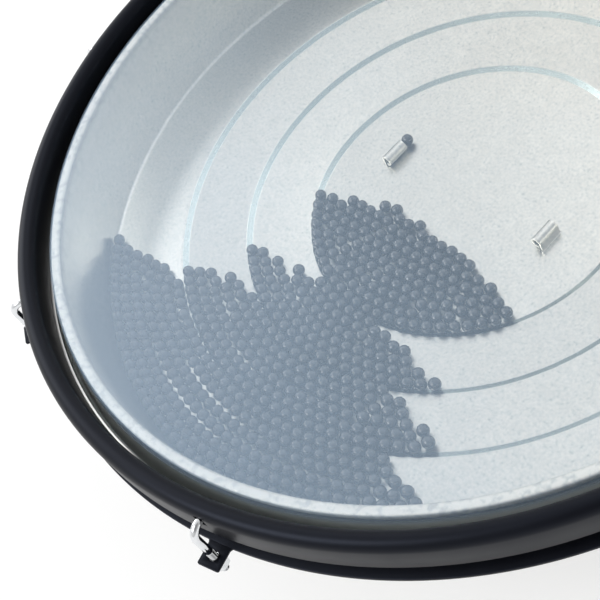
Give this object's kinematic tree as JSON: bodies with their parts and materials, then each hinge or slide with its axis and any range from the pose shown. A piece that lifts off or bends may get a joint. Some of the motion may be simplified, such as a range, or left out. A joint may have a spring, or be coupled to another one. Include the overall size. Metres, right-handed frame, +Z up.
{
  "type": "trash snare",
  "caption": "Hand drum made from an upturned galvanised can lid: a clear film stretched over its rolled lip by a black hoop and hooks, with loose beads rattling on the stepped floor.",
  "frame": {"origin": "centre of the drum, at the flat underside of the handle that it stands on", "axes": "+Z up along the drum's axis towards the film, +X along the handle"},
  "size_m": [0.4402, 0.4402, 0.0983],
  "materials": {
    "galvanised": "spangled zinc, satin",
    "black_steel": "semi-gloss black paint",
    "aluminium": "drawn channel",
    "film": "clear film, slightly hazy",
    "chrome": "bright plated",
    "beads": "moulded, dull black"
  },
  "bodies": {
    "lid": {"lid_shell": "galvanised", "lid_handle": "galvanised", "clamp_ring": "black_steel", "tension_washer_1": "chrome", "tension_washer_2": "chrome", "tension_washer_3": "chrome", "tension_washer_4": "chrome", "tension_washer_5": "chrome", "tension_washer_6": "chrome", "tension_washer_7": "chrome", "tension_washer_8": "chrome"},
    "head": {"counter_hoop": "black_steel", "flesh_hoop": "aluminium", "film_head": "film", "tension_hook_1": "chrome", "tension_hook_2": "chrome", "tension_hook_3": "chrome", "tension_hook_4": "chrome", "tension_hook_5": "chrome", "tension_hook_6": "chrome", "tension_hook_7": "chrome", "tension_hook_8": "chrome"},
    "tension_nut_1": {"tension_nut_1": "chrome"},
    "tension_nut_2": {"tension_nut_2": "chrome"},
    "tension_nut_3": {"tension_nut_3": "chrome"},
    "tension_nut_4": {"tension_nut_4": "chrome"},
    "tension_nut_5": {"tension_nut_5": "chrome"},
    "tension_nut_6": {"tension_nut_6": "chrome"},
    "tension_nut_7": {"tension_nut_7": "chrome"},
    "tension_nut_8": {"tension_nut_8": "chrome"},
    "bead_bed_centre": {"bead_bed_centre": "beads"},
    "bead_bed_first_step": {"bead_bed_first_step": "beads"},
    "bead_bed_second_step": {"bead_bed_second_step": "beads"},
    "bead_bed_outer_step": {"bead_bed_outer_step": "beads"},
    "loose_bead_1": {"loose_bead_1": "beads"},
    "loose_bead_2": {"loose_bead_2": "beads"},
    "loose_bead_3": {"loose_bead_3": "beads"},
    "loose_bead_4": {"loose_bead_4": "beads"},
    "loose_bead_5": {"loose_bead_5": "beads"},
    "loose_bead_6": {"loose_bead_6": "beads"},
    "loose_bead_7": {"loose_bead_7": "beads"},
    "loose_bead_8": {"loose_bead_8": "beads"},
    "loose_bead_9": {"loose_bead_9": "beads"}
  },
  "joints": [
    {"name": "head_tension", "type": "slide", "parent": "lid", "child": "head", "axis": [0, 0, 1], "range_m": [0, 0.0035]},
    {"name": "tension_nut_1_turn", "type": "hinge", "parent": "lid", "child": "tension_nut_1", "pos_m": [0.21344, 0.0673, 0.0648], "axis": [0, 0, 1], "range_deg": [-1801, 0]},
    {"name": "tension_nut_2_turn", "type": "hinge", "parent": "lid", "child": "tension_nut_2", "pos_m": [0.10334, 0.19851, 0.0648], "axis": [0, 0, 1], "range_deg": [-1801, 0]},
    {"name": "tension_nut_3_turn", "type": "hinge", "parent": "lid", "child": "tension_nut_3", "pos_m": [-0.0673, 0.21344, 0.0648], "axis": [0, 0, 1], "range_deg": [-1801, 0]},
    {"name": "tension_nut_4_turn", "type": "hinge", "parent": "lid", "child": "tension_nut_4", "pos_m": [-0.19851, 0.10334, 0.0648], "axis": [0, 0, 1], "range_deg": [-1801, 0]},
    {"name": "tension_nut_5_turn", "type": "hinge", "parent": "lid", "child": "tension_nut_5", "pos_m": [-0.21344, -0.0673, 0.0648], "axis": [0, 0, 1], "range_deg": [-1801, 0]},
    {"name": "tension_nut_6_turn", "type": "hinge", "parent": "lid", "child": "tension_nut_6", "pos_m": [-0.10334, -0.19851, 0.0648], "axis": [0, 0, 1], "range_deg": [-1801, 0]},
    {"name": "tension_nut_7_turn", "type": "hinge", "parent": "lid", "child": "tension_nut_7", "pos_m": [0.0673, -0.21344, 0.0648], "axis": [0, 0, 1], "range_deg": [-1801, 0]},
    {"name": "tension_nut_8_turn", "type": "hinge", "parent": "lid", "child": "tension_nut_8", "pos_m": [0.19851, -0.10334, 0.0648], "axis": [0, 0, 1], "range_deg": [-1801, 0]},
    {"name": "bead_bed_centre_roll", "type": "hinge", "parent": "lid", "child": "bead_bed_centre", "pos_m": [0, 0, 0.0288], "axis": [0, 0, 1], "range_deg": [-22, 22]},
    {"name": "bead_bed_first_step_roll", "type": "hinge", "parent": "lid", "child": "bead_bed_first_step", "pos_m": [0, 0, 0.0288], "axis": [0, 0, 1], "continuous": true},
    {"name": "bead_bed_second_step_roll", "type": "hinge", "parent": "lid", "child": "bead_bed_second_step", "pos_m": [0, 0, 0.0288], "axis": [0, 0, 1], "continuous": true},
    {"name": "bead_bed_outer_step_roll", "type": "hinge", "parent": "lid", "child": "bead_bed_outer_step", "pos_m": [0, 0, 0.0288], "axis": [0, 0, 1], "continuous": true},
    {"name": "loose_bead_1_roll", "type": "hinge", "parent": "bead_bed_centre", "child": "loose_bead_1", "pos_m": [0, 0, 0.0288], "axis": [0, 0, 1], "range_deg": [0, 10]},
    {"name": "loose_bead_2_roll", "type": "hinge", "parent": "bead_bed_centre", "child": "loose_bead_2", "pos_m": [0, 0, 0.0288], "axis": [0, 0, 1], "range_deg": [-18, 0]},
    {"name": "loose_bead_3_roll", "type": "hinge", "parent": "bead_bed_first_step", "child": "loose_bead_3", "pos_m": [0, 0, 0.0288], "axis": [0, 0, 1], "range_deg": [0, 60]},
    {"name": "loose_bead_4_roll", "type": "hinge", "parent": "bead_bed_first_step", "child": "loose_bead_4", "pos_m": [0, 0, 0.0288], "axis": [0, 0, 1], "range_deg": [-60, 0]},
    {"name": "loose_bead_5_roll", "type": "hinge", "parent": "bead_bed_second_step", "child": "loose_bead_5", "pos_m": [0, 0, 0.0288], "axis": [0, 0, 1], "range_deg": [0, 60]},
    {"name": "loose_bead_6_roll", "type": "hinge", "parent": "bead_bed_second_step", "child": "loose_bead_6", "pos_m": [0, 0, 0.0288], "axis": [0, 0, 1], "range_deg": [-60, 0]},
    {"name": "loose_bead_7_roll", "type": "hinge", "parent": "bead_bed_outer_step", "child": "loose_bead_7", "pos_m": [0, 0, 0.0288], "axis": [0, 0, 1], "range_deg": [0, 60]},
    {"name": "loose_bead_8_roll", "type": "hinge", "parent": "bead_bed_outer_step", "child": "loose_bead_8", "pos_m": [0, 0, 0.0288], "axis": [0, 0, 1], "range_deg": [-60, 0]},
    {"name": "loose_bead_9_roll", "type": "hinge", "parent": "lid", "child": "loose_bead_9", "pos_m": [0, 0, 0.0288], "axis": [0, 0, 1], "range_deg": [-60, 0]}
  ],
  "couplings": [
    {"joint": "tension_nut_1_turn", "follows": "head_tension", "rad_per_m": -8976},
    {"joint": "tension_nut_2_turn", "follows": "head_tension", "rad_per_m": -8976},
    {"joint": "tension_nut_3_turn", "follows": "head_tension", "rad_per_m": -8976},
    {"joint": "tension_nut_4_turn", "follows": "head_tension", "rad_per_m": -8976},
    {"joint": "tension_nut_5_turn", "follows": "head_tension", "rad_per_m": -8976},
    {"joint": "tension_nut_6_turn", "follows": "head_tension", "rad_per_m": -8976},
    {"joint": "tension_nut_7_turn", "follows": "head_tension", "rad_per_m": -8976},
    {"joint": "tension_nut_8_turn", "follows": "head_tension", "rad_per_m": -8976}
  ]
}
